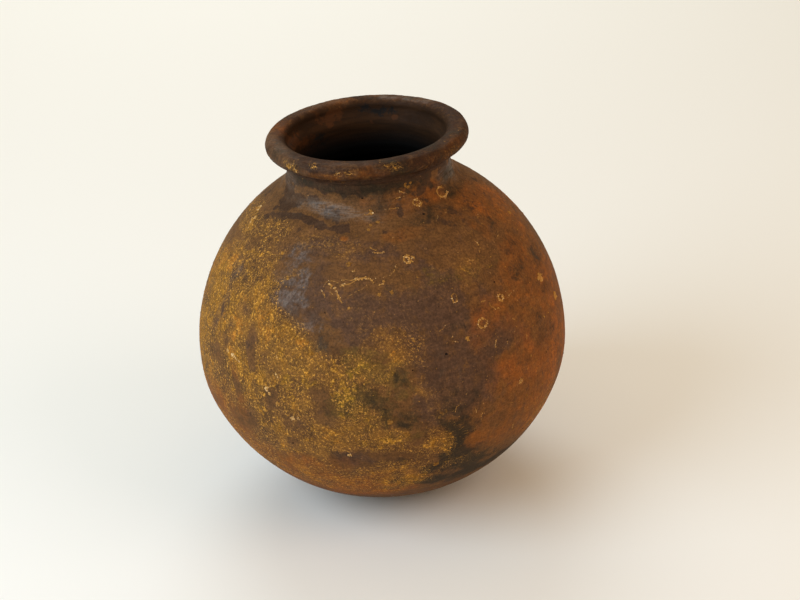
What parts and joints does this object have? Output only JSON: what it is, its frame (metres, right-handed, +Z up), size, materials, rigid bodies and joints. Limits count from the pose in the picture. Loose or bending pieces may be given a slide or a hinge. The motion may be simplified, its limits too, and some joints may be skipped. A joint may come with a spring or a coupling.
{
  "type": "terracotta water jar",
  "caption": "Round-bottomed terracotta water jar with a short ringed neck and a rolled lip, made of clay members joined on bevelled laps.",
  "frame": {"origin": "centre of the small worn flat that the jar rests on, at the bottom of its axis", "axes": "+Z up along the jar's axis, out of the mouth; the jar is round, so X and Y are free"},
  "size_m": [0.2138, 0.2138, 0.22],
  "materials": {
    "base_clay": "unglazed, smoked dark",
    "body_clay": "unglazed, smoked, with dry ochre deposit",
    "neck_clay": "wheel-smoothed slip, satin",
    "lip_clay": "smoked, worn, satin"
  },
  "bodies": {
    "root": {"base": "base_clay", "lower_wall": "body_clay", "upper_wall": "body_clay", "neck_collar": "neck_clay", "lip_fold": "lip_clay", "rolled_lip": "lip_clay"}
  },
  "joints": []
}
